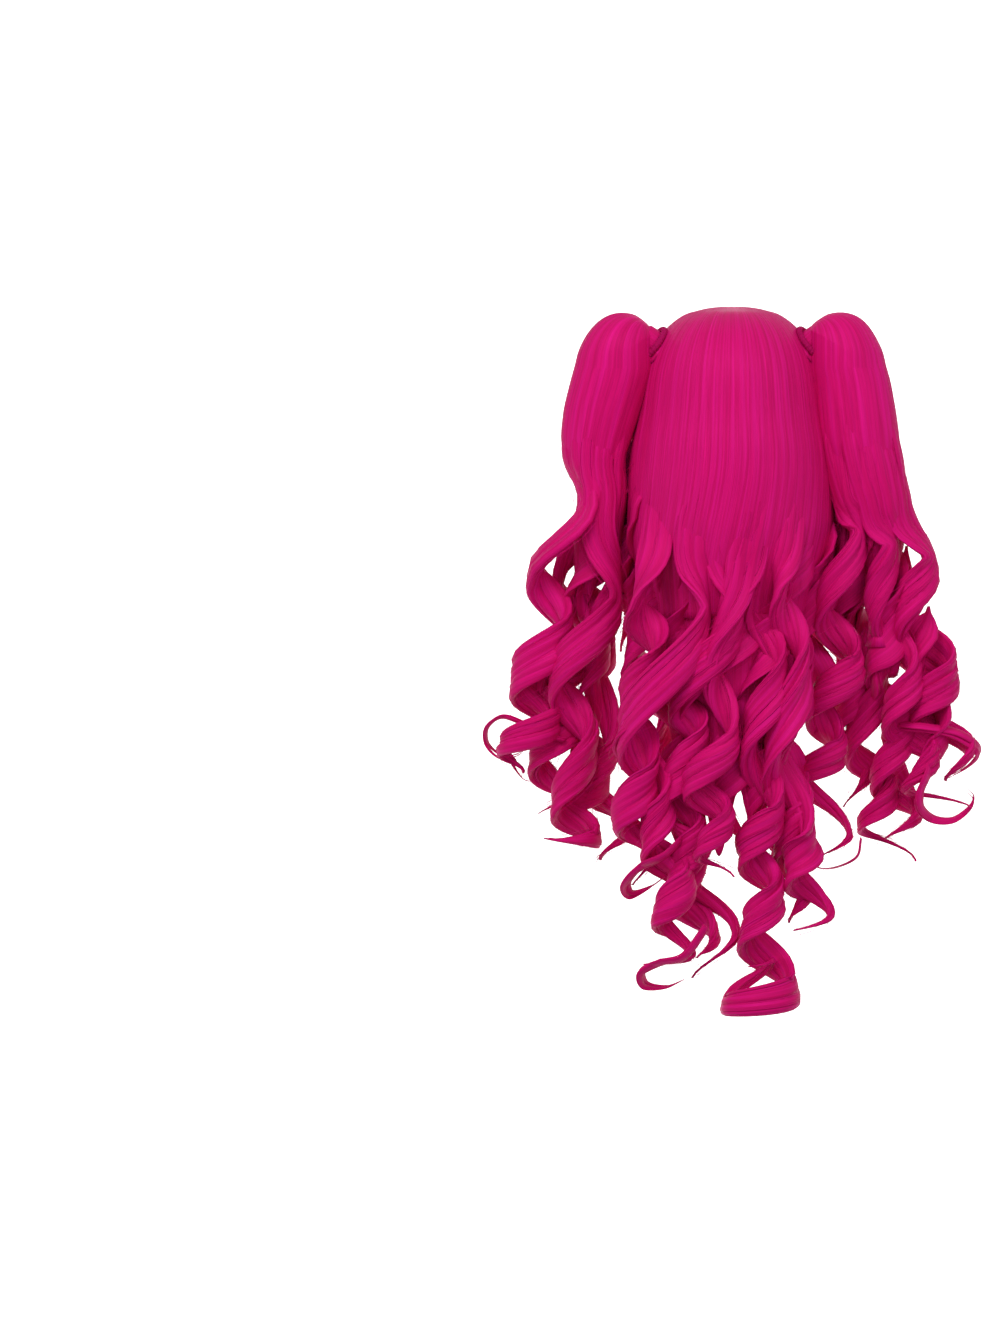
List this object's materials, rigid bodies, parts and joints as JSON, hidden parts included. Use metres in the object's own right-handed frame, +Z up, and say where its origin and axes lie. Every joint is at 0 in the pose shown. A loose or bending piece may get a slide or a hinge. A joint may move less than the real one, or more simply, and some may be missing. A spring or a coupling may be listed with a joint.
{
  "type": "pigtail wig",
  "caption": "Long curly wig on a close cap, with a fringe, a curled back and a gathered pigtail at each side of the crown.",
  "frame": {"origin": "inside top of the cap, where the crown of the wearer's head sits", "axes": "+Z up, +Y the way the wearer faces, so the back of the wig faces -Y and the wearer's right is at +X"},
  "size_m": [0.4842, 0.2557, 0.7036],
  "materials": {
    "hair": "satin",
    "cap": "matt",
    "elastic": "matt"
  },
  "bodies": {
    "root": {"cap": "cap", "crown_hair": "hair", "fringe": "hair", "back_hair": "hair", "side_lock_left": "hair", "side_lock_right": "hair", "pigtail_left": "hair", "pigtail_right": "hair", "tie_left": "elastic", "tie_right": "elastic"}
  },
  "joints": []
}
